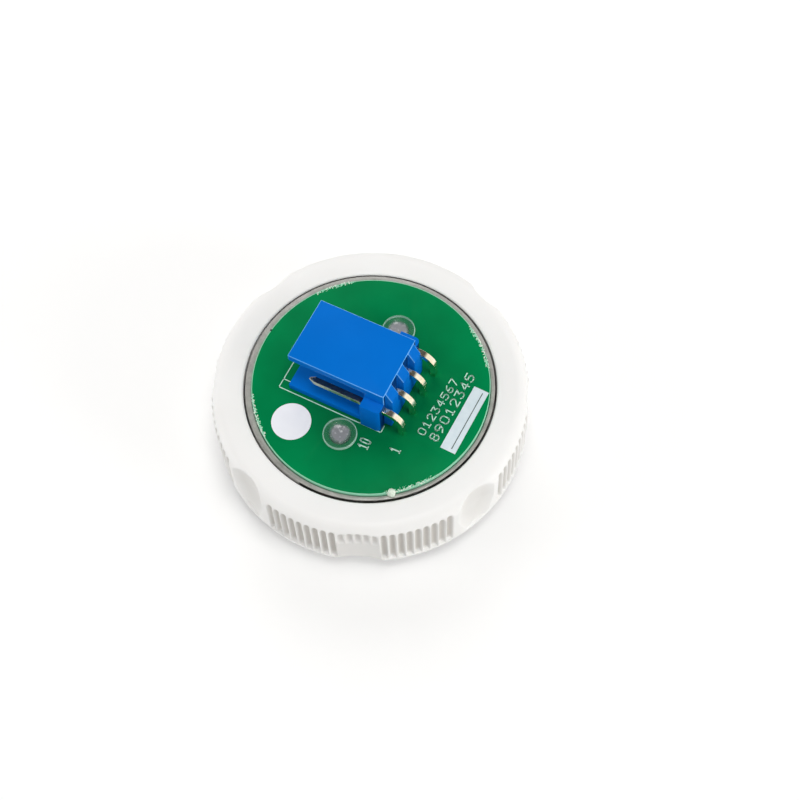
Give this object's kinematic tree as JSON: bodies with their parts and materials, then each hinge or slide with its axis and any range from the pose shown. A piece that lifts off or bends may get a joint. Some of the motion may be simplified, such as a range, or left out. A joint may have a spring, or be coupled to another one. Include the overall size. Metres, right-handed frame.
{
  "type": "lift push button",
  "caption": "Round panel-mount lift push button: ribbed white clamp ring, clear housing with a sprung cap, staked green circuit board and blue right-angle plug header.",
  "frame": {"origin": "on the button's axis at the front face of the bezel, on which the part stands", "axes": "+Z along the axis to the rear, connector side; +X from the connector's mouth towards its soldered pin row"},
  "size_m": [0.034, 0.034, 0.0164],
  "materials": {
    "ring_white": "moulded satin, warm white",
    "clear_housing": "clear moulded",
    "bezel_steel": "fine turned",
    "halo_milky": "milky diffuser",
    "cap_white": "moulded satin",
    "plate_steel": "straight brushed",
    "spring_steel": "drawn wire",
    "board_green": "green solder mask over glass fibre laminate",
    "header_blue": "moulded, semi gloss",
    "pin_gold": "gold flash over brass",
    "solder_tin": "bright tin solder",
    "switch_black": "moulded",
    "cover_steel": "stamped",
    "plunger_grey": "moulded",
    "chip_black": "glazed",
    "lamp_white": "moulded package"
  },
  "bodies": {
    "base": {"housing": "clear_housing", "front_bezel": "bezel_steel", "halo_ring": "halo_milky", "circuit_board": "board_green", "connector_header": "header_blue", "contact_pin_1": "pin_gold", "contact_pin_2": "pin_gold", "contact_pin_3": "pin_gold", "contact_pin_4": "pin_gold", "pin_solder": "solder_tin", "switch_body": "switch_black", "switch_cover": "cover_steel", "switch_leads": "solder_tin", "chip_resistors": "chip_black", "led_1": "lamp_white", "led_2": "lamp_white", "led_3": "lamp_white", "led_4": "lamp_white", "return_spring": "spring_steel"},
    "cap": {"push_cap": "cap_white", "face_plate": "plate_steel"},
    "plunger": {"switch_plunger": "plunger_grey"},
    "ring": {"clamp_ring": "ring_white"}
  },
  "joints": [
    {"name": "press", "type": "slide", "parent": "base", "child": "cap", "axis": [0, 0, 1], "range_m": [0, 0.0008], "stiffness_N_per_m": 2500, "springref_m": -0.0004, "deforming": ["return_spring"]},
    {"name": "plunger_slide", "type": "slide", "parent": "base", "child": "plunger", "axis": [0, 0, 1], "range_m": [0, 0.0008]},
    {"name": "ring_unscrew", "type": "slide", "parent": "base", "child": "ring", "axis": [0, 0, 1], "range_m": [-0.0006, 0.015]}
  ],
  "couplings": [
    {"joint": "plunger_slide", "follows": "press", "ratio": 1}
  ]
}
